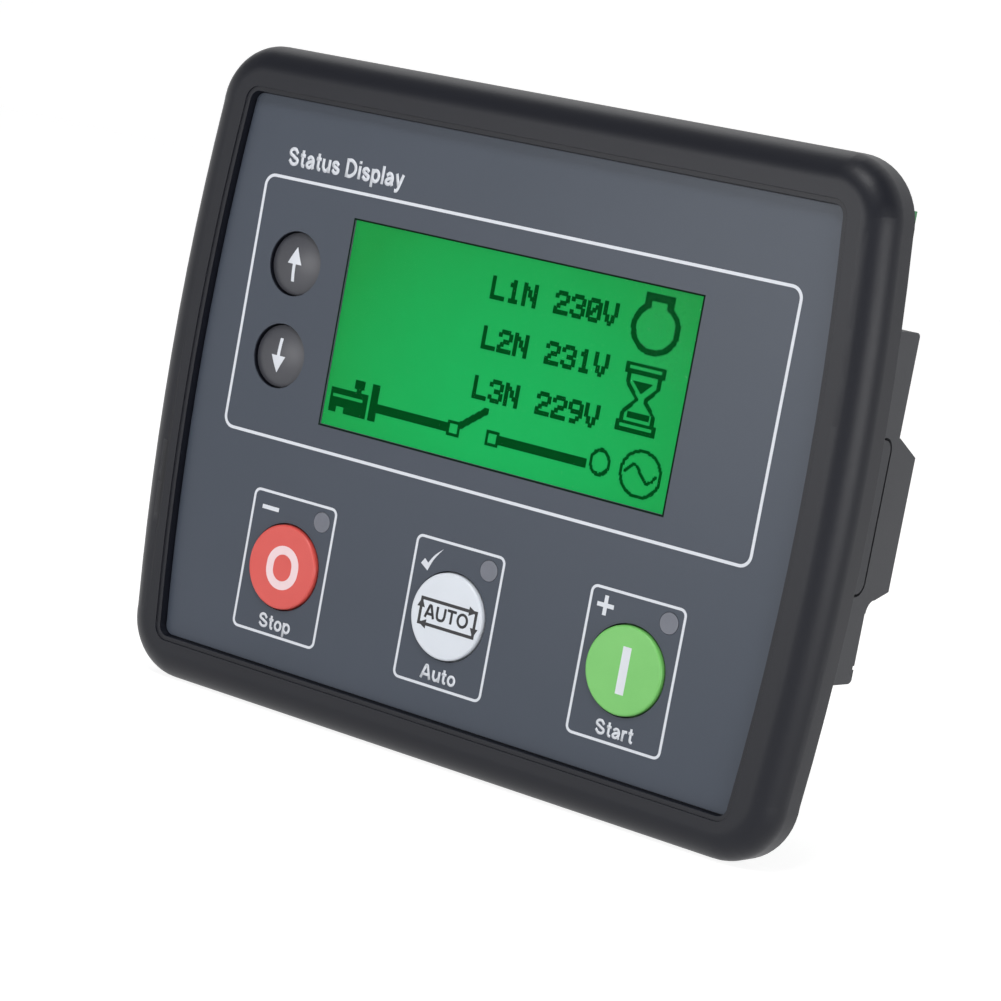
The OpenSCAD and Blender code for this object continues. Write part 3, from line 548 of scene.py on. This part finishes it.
def penStrokes(name, words, look, layer):               # one stroke of each letter, as a ribbon
    profile = bpy.data.curves.new(name + "Pen", "CURVE")
    nib = profile.splines.new("POLY")
    nib.points.add(1)
    nib.points[0].co = (-look["pen"] / 2, 0, 0, 1)
    nib.points[1].co = (look["pen"] / 2, 0, 0, 1)
    pen = bpy.data.objects.new(name + "Pen", profile)
    bpy.context.scene.collection.objects.link(pen)
    curve = bpy.data.curves.new(name, "CURVE")
    curve.dimensions = "2D"
    curve.fill_mode = "NONE"
    curve.resolution_u = 6
    curve.bevel_mode = "OBJECT"
    curve.bevel_object = pen
    along = 0
    for letter in words:
        wide, strokes = letters.get(letter, (0.3, []))
        for stroke in strokes[layer:layer + 1]:
            closed = len(stroke) > 2 and stroke[0] == stroke[-1]
            points = stroke[:-1] if closed else stroke
            spline = curve.splines.new("BEZIER")
            spline.bezier_points.add(len(points) - 1)
            spline.use_cyclic_u = closed
            for knot, point in zip(spline.bezier_points, points):
                knot.co = (along + point[0], point[1], 0)
                kind = "VECTOR" if len(point) == 3 or len(points) == 2 else "AUTO"
                knot.handle_left_type = kind
                knot.handle_right_type = kind
        along += wide + look["spacing"]
    obj = bpy.data.objects.new(name, curve)
    bpy.context.scene.collection.objects.link(obj)
    pick(obj)
    bpy.ops.object.convert(target="MESH")
    bpy.data.objects.remove(pen)
    obj = bpy.context.object
    obj.location.z = layer * ink["layer"]               # later strokes lie over earlier ones
    settle(obj)
    return obj


def inkWords(name, words, look, x, z, y):               # x is the middle, z the base line
    count = max(len(letters[letter][1]) for letter in words if letter in letters)
    layers = [penStrokes(name, words, look, layer) for layer in range(count)]
    pick(layers[0])
    for obj in layers[1:]:
        obj.select_set(True)
    if count > 1:
        bpy.ops.object.join()
    obj = bpy.context.object
    xs = [v.co.x for v in obj.data.vertices]
    wide = look["width"] / (max(xs) - min(xs))
    obj.scale = (wide, look["caps"], 1)
    obj.rotation_euler = (math.pi / 2, 0, 0)
    obj.location = (x - (max(xs) + min(xs)) / 2 * wide, y - ink["thick"], z)
    settle(obj)
    faceFront(obj)
    thicken(obj, ink["thick"])
    return obj


def faceFront(obj):                                     # flat faces look towards -Y
    pick(obj)
    bpy.ops.object.mode_set(mode="EDIT")
    bpy.ops.mesh.select_mode(type="FACE")
    bpy.ops.mesh.select_all(action="DESELECT")
    bpy.ops.object.mode_set(mode="OBJECT")
    for face in obj.data.polygons:
        face.select = face.normal.y > 0
    bpy.ops.object.mode_set(mode="EDIT")
    bpy.ops.mesh.flip_normals()
    bpy.ops.mesh.select_mode(type="VERT")
    bpy.ops.object.mode_set(mode="OBJECT")


def inkDrawing(name, points, x, z, y):                  # outline of points; a point with a bend is smooth
    curve = bpy.data.curves.new(name, "CURVE")
    curve.dimensions = "2D"
    curve.fill_mode = "BOTH"
    curve.resolution_u = 8
    spline = curve.splines.new("BEZIER")
    spline.bezier_points.add(len(points) - 1)
    spline.use_cyclic_u = True
    for knot, (px, pz, kind) in zip(spline.bezier_points, points):
        knot.co = (px, pz, 0)
        knot.handle_left_type = kind
        knot.handle_right_type = kind
    obj = bpy.data.objects.new(name, curve)
    bpy.context.scene.collection.objects.link(obj)
    pick(obj)
    bpy.ops.object.convert(target="MESH")
    obj = bpy.context.object
    obj.rotation_euler = (math.pi / 2, 0, 0)
    obj.location = (x, y - ink["thick"], z)
    settle(obj)
    thicken(obj, ink["thick"])
    return obj


def edgeNear(obj, spot):                                # the edge whose middle is nearest to a spot
    def gap(edge):
        first, second = [obj.data.vertices[v].co for v in edge.vertices]
        return ((first + second) / 2 - spot).length
    return min(obj.data.edges, key=gap)


displayLine = {
    "width": 109.92 * mm, "height": 44.94 * mm, "corner": 2.2 * mm, "arc": 8, "line": 0.53 * mm,
    "x": 0.115 * mm, "z": 12.275 * mm,
}
whiteLine = inkOutline("displayLine", displayLine, displayLine["x"], displayLine["z"], ink["faceY"])
dress(whiteLine, "controller", whiteInk, "fascia_foil")

keyBox = {
    "width": 18.64 * mm, "height": 24.76 * mm, "corner": 1.3 * mm, "arc": 6, "line": 0.46 * mm,
    "right": 0.12 * mm, "down": 0.07 * mm,              # off its key's middle
}
keyLabel = {"caps": 2.5 * mm, "pen": 0.185, "spacing": 0.08, "right": 0.1 * mm, "base": -11.2 * mm}
labels = {"stop": ("Stop", 7.1 * mm), "auto": ("Auto", 7.4 * mm), "start": ("Start", 7.4 * mm)}
for key, (words, width) in labels.items():
    at = middle(key + "_key")
    box = inkOutline(key + "Box", keyBox, at.x + keyBox["right"], at.z - keyBox["down"], ink["faceY"])
    dress(box, "controller", whiteInk, "fascia_foil")
    look = {**keyLabel, "width": width}
    label = inkWords(key + "Label", words, look, at.x + look["right"], at.z + look["base"], ink["faceY"])
    dress(label, "controller", whiteInk, "fascia_foil")

heading = {
    "caps": 3.1 * mm, "width": 25.5 * mm, "pen": 0.2, "spacing": 0.09, "left": -50.6 * mm, "base": 36.7 * mm,
}
headingX = heading["left"] + heading["width"] / 2
title = inkWords("heading", "Status Display", heading, headingX, heading["base"], ink["faceY"])
dress(title, "controller", whiteInk, "fascia_foil")

signs = {
    "up": 9.3 * mm, "bar": 0.72 * mm, "minus": 3.7 * mm, "plus": 3.26 * mm,
    "minusLeft": 5.1 * mm, "plusLeft": 5.95 * mm,       # off the key's middle
}
at = middle("stop_key")
minusX = at.x - signs["minusLeft"]
minus = inkPlate("minusSign", signs["minus"], signs["bar"], minusX, at.z + signs["up"], ink["faceY"])
thicken(minus, ink["thick"])
dress(minus, "controller", whiteInk, "fascia_foil")

at = middle("start_key")
centre = Vector((at.x - signs["plusLeft"], ink["faceY"] - ink["thick"], at.z + signs["up"]))
plus = inkPlate("plusSign", signs["bar"], signs["bar"], centre.x, centre.z, ink["faceY"])
bpy.ops.object.mode_set(mode="EDIT")
for way in (Vector((1, 0, 0)), Vector((-1, 0, 0)), Vector((0, 0, 1)), Vector((0, 0, -1))):
    bpy.ops.mesh.select_all(action="DESELECT")
    bpy.ops.object.mode_set(mode="OBJECT")
    side = edgeNear(plus, centre + way * signs["bar"] / 2)
    side.select = True
    for v in side.vertices:
        plus.data.vertices[v].select = True
    bpy.ops.object.mode_set(mode="EDIT")
    arm = way * (signs["plus"] - signs["bar"]) / 2
    bpy.ops.mesh.extrude_edges_move(TRANSFORM_OT_translate={"value": arm})
bpy.ops.object.mode_set(mode="OBJECT")
thicken(plus, ink["thick"])
dress(plus, "controller", whiteInk, "fascia_foil")

tick = {
    "left": 5.9 * mm, "up": 6.55 * mm,                  # its foot, off the key's middle
    "outline": [(-1.55, 0.98, "VECTOR"), (-0.89, 1.92, "VECTOR"), (-0.1, 1.3, "VECTOR"), (1.0, 2.85, "AUTO"),
                (2.55, 4.2, "VECTOR"), (0.95, 2.1, "AUTO"), (0, 0, "VECTOR")],
}
at = middle("auto_key")
outline = [(x * mm, z * mm, bend) for x, z, bend in tick["outline"]]
tickSign = inkDrawing("tickSign", outline, at.x - tick["left"], at.z + tick["up"], ink["faceY"])
dress(tickSign, "controller", whiteInk, "fascia_foil")
print("stage: foil printed")


# signs on the key tops ride on their keys

ring = {
    "width": 7.0 * mm, "height": 7.65 * mm, "corner": 3.48 * mm, "arc": 16, "line": 1.5 * mm,
    "right": 0.2 * mm, "down": 0.1 * mm,                # off its key's middle
}
at = middle("stop_key")
stopSign = inkOutline("stopSign", ring, at.x + ring["right"], at.z - ring["down"], ink["keyY"])
dress(stopSign, "stop_button", pinkInk, "red_key")

bar = {"width": 1.6 * mm, "height": 7.8 * mm, "right": 0.1 * mm}
at = middle("start_key")
startSign = inkPlate("startSign", bar["width"], bar["height"], at.x + bar["right"], at.z, ink["keyY"])
thicken(startSign, ink["thick"])
dress(startSign, "start_button", whiteInk, "green_key")

loop = {
    "width": 11.9 * mm, "height": 4.75 * mm, "corner": 0, "arc": 1, "line": 0.55 * mm, "right": 0.35 * mm,
}
head = {"long": 1.55 * mm, "half": 0.8 * mm}
autoWord = {
    "caps": 2.3 * mm, "width": 9.1 * mm, "pen": 0.2, "spacing": 0.1, "left": 0.25 * mm, "down": 1.0 * mm,
}
at = middle("auto_key")
at.x += loop["right"]
autoLoop = inkOutline("autoLoop", loop, at.x, at.z, ink["keyY"])
dress(autoLoop, "auto_button", darkInk, "white_key")
wide = loop["width"] / 2 - loop["line"] / 2
high = loop["height"] / 2 - loop["line"] / 2
headY = ink["keyY"] - ink["thick"] / 2
turns = [(wide, high, 0), (wide, -high, -90), (-wide, -high, 180), (-wide, high, 90)]
for count, (px, pz, turn) in enumerate(turns):
    spin = Matrix.Rotation(math.radians(turn), 2)
    tips = [spin @ Vector(p) for p in ((0, 0), (-head["long"], head["half"]), (-head["long"], -head["half"]))]
    outline = [(p.x, p.y, "VECTOR") for p in tips]
    arrow = inkDrawing("autoHead" + str(count), outline, at.x + px, at.z + pz, headY)
    dress(arrow, "auto_button", darkInk, "white_key")
word = inkWords("autoWord", "AUTO", autoWord, at.x - autoWord["left"], at.z - autoWord["down"], ink["keyY"])
dress(word, "auto_button", darkInk, "white_key")

arrowSign = {
    "tip": 2.9 * mm, "neck": -0.05 * mm, "tail": -3.1 * mm, "half": 1.53 * mm, "shaft": 0.32 * mm,
    "point": 0.02 * mm, "cuts": 3, "ahead": 5 * mm,     # drawn ahead of the dome, then laid on it
}


def arrowPrint(key, way):                               # follows the dome of its key
    at = middle(key + "_key")
    clearPick()
    shaftLong = arrowSign["neck"] - arrowSign["tail"]
    shaftZ = at.z + way * (arrowSign["tail"] + shaftLong / 2)
    front = at.y - arrowSign["ahead"]
    obj = inkPlate(key + "Sign", 2 * arrowSign["shaft"], shaftLong, at.x, shaftZ, front)
    bpy.ops.object.mode_set(mode="EDIT")
    bpy.ops.mesh.primitive_plane_add(size=1, location=(at.x, front, at.z), rotation=(math.pi / 2, 0, 0))
    bpy.ops.object.mode_set(mode="OBJECT")
    added = [v for v in obj.data.vertices if v.select]
    for v in added:
        upper = v.co.z > at.z
        half = arrowSign["point"] if upper else arrowSign["half"]
        v.co.x = at.x + math.copysign(half, v.co.x - at.x)
        v.co.z = at.z + way * (arrowSign["tip"] if upper else arrowSign["neck"])
    bpy.ops.object.mode_set(mode="EDIT")
    bpy.ops.mesh.select_all(action="SELECT")
    bpy.ops.mesh.subdivide(number_cuts=arrowSign["cuts"])
    bpy.ops.mesh.normals_make_consistent(inside=False)
    bpy.ops.object.mode_set(mode="OBJECT")
    wrap = obj.modifiers.new("wrap", "SHRINKWRAP")
    wrap.target = keyCaps[key]
    wrap.wrap_method = "PROJECT"
    wrap.use_project_y = True
    wrap.use_positive_direction = True
    wrap.use_negative_direction = True
    wrap.offset = ink["thick"]
    applyAll(obj)
    thicken(obj, ink["thick"] / 2)
    dress(obj, key + "_button", whiteInk, "grey_key")


arrowPrint("up", 1)
arrowPrint("down", -1)
print("stage: keys printed")


# display picture: dots of a plain matrix, column and row from the upper left

glyphs = {
    "L": "#.... #.... #.... #.... #.... #.... #####",
    "N": "#...# ##..# #.#.# #.#.# #..## #...# #...#",
    "V": "#...# #...# #...# #...# .#.#. .#.#. ..#..",
    "0": ".###. #...# #..## #.#.# ##..# #...# .###.",
    "1": "..#.. .##.. ..#.. ..#.. ..#.. ..#.. .###.",
    "2": ".###. #...# ....# ..##. .#... #.... #####",
    "3": ".###. #...# ....# ..##. ....# #...# .###.",
    "9": ".###. #...# #...# .#### ....# ...#. .##..",
}
readings = {
    "lines": ("L1N 230V", "L2N 231V", "L3N 229V"),
    "column": 54.5, "row": 6.5, "lineStep": 16, "letterStep": 6,
}
fine = display["fine"]
dots = set()


def dotBox(left, top, right, bottom, clear=False):      # from the first dot to the last one, halves allowed
    for column in range(int(fine * left), int(fine * (right + 1))):
        for row in range(int(fine * top), int(fine * (bottom + 1))):
            if clear:
                dots.discard((column, row))
            else:
                dots.add((column, row))


def dotWords(words, column, row):
    for place, letter in enumerate(words):
        for down, line in enumerate(glyphs.get(letter, "").split()):
            for along, mark in enumerate(line):
                if mark == "#":                         # half a dot bolder, to the left and up
                    c = column + readings["letterStep"] * place + along
                    r = row + down
                    dotBox(c - 0.5, r - 0.5, c, r)


def dotLine(near, thick):                               # cells whose middle is near a line, in dots
    for column in range(fine * display["columns"]):
        for row in range(fine * display["rows"]):
            if near((column + 0.5) / fine - 0.5, (row + 0.5) / fine - 0.5) <= thick / 2:
                dots.add((column, row))


def dotRing(column, row, wide, tall, thick=1.0):        # outline of an ellipse
    def near(c, r):
        return abs(math.hypot((c - column) / wide, (r - row) / tall) - 1) * min(wide, tall)
    dotLine(near, thick)


def dotStroke(c0, r0, c1, r1, thick=1.0):
    start = Vector((c0, r0))
    way = Vector((c1, r1)) - start

    def near(c, r):
        spot = Vector((c, r)) - start
        share = min(max(spot.dot(way) / way.dot(way), 0), 1)
        return (spot - way * share).length
    dotLine(near, thick)


def drawReadings():
    for line, words in enumerate(readings["lines"]):
        dotWords(words, readings["column"], readings["row"] + readings["lineStep"] * line)


def drawEngine():                                       # round block with a cap
    dotRing(114.9, 10.6, 7.8, 7.5, 1.9)
    dotBox(112, 1, 118, 4, clear=True)
    dotBox(110, 0.5, 119.5, 2)
    dotBox(110, 2, 111.5, 4)
    dotBox(118, 2, 119.5, 4)


def drawHourglass():
    for top in (22.5, 40.5):
        dotBox(107.5, top, 121, top + 2.5)
        dotBox(109, top + 1, 119.5, top + 1, clear=True)
    for side in (-1, 1):
        corners = [(5.5, 25.5), (5.5, 28.5), (1.5, 33), (5.5, 37.5), (5.5, 40.5)]
        for (c0, r0), (c1, r1) in zip(corners, corners[1:]):
            dotStroke(114.4 + side * c0, r0, 114.4 + side * c1, r1, 1.35)
    for step in range(7):
        dotBox(111 + step / 2, 28 + step / 2, 117 - step / 2, 27.5 + step / 2)
    dotBox(111, 37.5, 118, 38.5)


def drawSupply():                                       # engine, line, open switch, line, ring and wave
    dotBox(0, 53, 14, 60)
    dotBox(1, 55, 12, 55, clear=True)
    dotBox(3, 59, 5, 60, clear=True)
    dotBox(9, 49, 12, 51)
    dotBox(10, 52, 11, 52)
    dotBox(16, 49, 18, 60)
    dotBox(18, 55, 47, 57)
    dotStroke(51.5, 54.5, 60, 48, 2.3)
    for left in (47, 62):
        dotBox(left, 54, left + 4, 58)
        dotBox(left + 1, 55, left + 3, 57, clear=True)
    dotBox(67, 55, 99, 57)
    dotRing(104.2, 54.6, 3.3, 3.8, 1.1)
    dotRing(119.1, 55.1, 7.1, 7.1, 1.1)
    wave = [(113.7 + 1.08 * k, 55 - 2.4 * math.sin(math.pi * k / 5)) for k in range(11)]
    for (c0, r0), (c1, r1) in zip(wave, wave[1:]):
        dotStroke(c0, r0, c1, r1, 1.05)


drawReadings()
drawEngine()
drawHourglass()
drawSupply()


def displayDots():
    wide = display["columns"] * display["pitchX"]
    tall = display["rows"] * display["pitchZ"]
    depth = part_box("lcd_cell")[0].y - display["dotLift"]
    clearPick()
    bpy.ops.mesh.primitive_grid_add(
        x_subdivisions=fine * display["columns"], y_subdivisions=fine * display["rows"], size=1,
        location=(display["left"] + wide / 2, depth, display["top"] - tall / 2), rotation=(math.pi / 2, 0, 0))
    obj = bpy.context.object
    obj.name = "displayDots"
    obj.scale = (wide, tall, 1)
    settle(obj)
    bpy.ops.object.mode_set(mode="EDIT")
    bpy.ops.mesh.select_mode(type="FACE")
    bpy.ops.mesh.select_all(action="DESELECT")
    bpy.ops.object.mode_set(mode="OBJECT")
    for face in obj.data.polygons:
        column = int((face.center.x - display["left"]) / display["pitchX"] * fine)
        row = int((display["top"] - face.center.z) / display["pitchZ"] * fine)
        face.select = (column, row) not in dots
    bpy.ops.object.mode_set(mode="EDIT")
    bpy.ops.mesh.delete(type="FACE")
    bpy.ops.object.mode_set(mode="OBJECT")
    thicken(obj, display["dotThick"])
    return dress(obj, "controller", darkDots(), "display_green")


displayDots()
# painted shade line drawn on the foil face all round the display window, in place of the shadow at its
# recessed edge
rim = {
    "width": 71.73 * mm, "height": 35.88 * mm, "corner": 0, "arc": 1, "line": 0.3 * mm,
    "x": 1.785 * mm, "z": 12.26 * mm,
}
windowShadeLine = inkOutline("windowShadeLine", rim, rim["x"], rim["z"], ink["faceY"])
dress(windowShadeLine, "controller", windowShadeInk, "fascia_foil")
print("stage: display drawn,", len(dots), "dots")


# studio: pale floor, soft lamps, camera

studio = {
    "floorSize": 12.0, "wallHeight": 1.0, "backdropSize": 10.0, "backdropY": 2.0,
    "ambient": 0.38, "cloth": 0.8, "floorGlow": 0.88, "floorGrey": 0.36,
    "lamps": [                                          # name, place, aim, width, height, watts
        ("keyLamp", (0.15, -0.55, 0.85), (0, 0, 0), 0.3, 0.3, 4.4),
        ("fillLamp", (-0.28, -0.82, 0.01), (0, 0, 0), 0.38, 0.24, 2.5),
        ("sideLamp", (0.9, -0.25, 0.05), (0, 0.01, 0), 0.6, 0.22, 3.2),
        ("topLamp", (-0.45, 0.3, 0.75), (0, 0, 0), 0.5, 0.35, 1.0),
    ],
}


def whiteCloth():                                       # white in view and in mirrors, pale for the light
    material, flow, shader = startFinish("whiteCloth", Roughness=0.9, Specular_IOR_Level=0.1)
    shader.inputs["Base Color"].default_value = (*[studio["cloth"]] * 3, 1)
    tree = material.node_tree
    rays = flow.node("ShaderNodeLightPath", output="Is Camera Ray")
    glossy = Flow(tree, rays.socket.node.outputs["Is Glossy Ray"])
    through = Flow(tree, rays.socket.node.outputs["Is Transmission Ray"])
    seen = flow.math("MINIMUM", rays + glossy + through, 1.0)
    glow = flow.node("ShaderNodeEmission", {}, {"Strength": studio["floorGlow"]})
    dim = flow.node("ShaderNodeBsdfDiffuse", {}, {"Color": (*[studio["floorGrey"]] * 3, 1)})
    both = flow.node("ShaderNodeAddShader", {}, {0: glow, 1: dim})
    choose = flow.node("ShaderNodeMixShader", {}, {0: seen, 1: Flow(tree, shader.outputs[0]), 2: both})
    tree.links.new(choose.socket, tree.nodes["Material Output"].inputs["Surface"])
    return material


def paleFloor(cloth):
    clearPick()
    bpy.ops.mesh.primitive_plane_add(size=studio["floorSize"], location=(0, 0, cadLow.z))
    floor = bpy.context.object
    floor.name = "floor"
    bpy.ops.object.mode_set(mode="EDIT")
    bpy.ops.mesh.select_all(action="SELECT")
    rise = (0, 0, studio["wallHeight"])                 # low walls, so that no view shows the floor's end
    bpy.ops.mesh.extrude_edges_move(TRANSFORM_OT_translate={"value": rise})
    bpy.ops.object.mode_set(mode="OBJECT")
    settle(floor)
    bpy.ops.mesh.primitive_plane_add(size=studio["backdropSize"], location=(0, studio["backdropY"], cadLow.z),
                                     rotation=(math.pi / 2, 0, 0))
    backdrop = bpy.context.object
    backdrop.name = "backdrop"
    settle(backdrop)
    for obj in (floor, backdrop):
        obj.data.materials.append(cloth)


def plainWorld():
    world = bpy.data.worlds.new("studio")
    world.use_nodes = True
    bpy.context.scene.world = world
    sky = world.node_tree.nodes["Background"]
    sky.inputs["Color"].default_value = (1, 1, 1, 1)
    sky.inputs["Strength"].default_value = studio["ambient"]


def softLamp(name, place, aim, width, height, watts):
    light = bpy.data.lights.new(name, "AREA")
    light.shape = "RECTANGLE"
    light.size = width
    light.size_y = height
    light.energy = watts
    lamp = bpy.data.objects.new(name, light)
    bpy.context.scene.collection.objects.link(lamp)
    lamp.location = place
    lamp.rotation_euler = (Vector(aim) - Vector(place)).to_track_quat("-Z", "Y").to_euler()


camera = {
    "eye": (0.30921, -0.44438, 0.05629), "aim": (0.00288, -0.002, -0.0107),
    "roll": 10.47, "lens": 117.37, "sensor": 36,
}


def photoCamera():
    data = bpy.data.cameras.new("camera")
    data.lens = camera["lens"]
    data.sensor_width = camera["sensor"]
    obj = bpy.data.objects.new("camera", data)
    bpy.context.scene.collection.objects.link(obj)
    look = (Vector(camera["aim"]) - Vector(camera["eye"])).to_track_quat("-Z", "Y").to_matrix().to_4x4()
    roll = Matrix.Rotation(math.radians(camera["roll"]), 4, "Z")
    obj.matrix_world = Matrix.Translation(camera["eye"]) @ look @ roll
    bpy.context.scene.camera = obj


paleFloor(whiteCloth())
plainWorld()
for lamp in studio["lamps"]:
    softLamp(*lamp)
photoCamera()
bpy.context.scene.view_settings.view_transform = "Standard"
print("stage: studio ready")
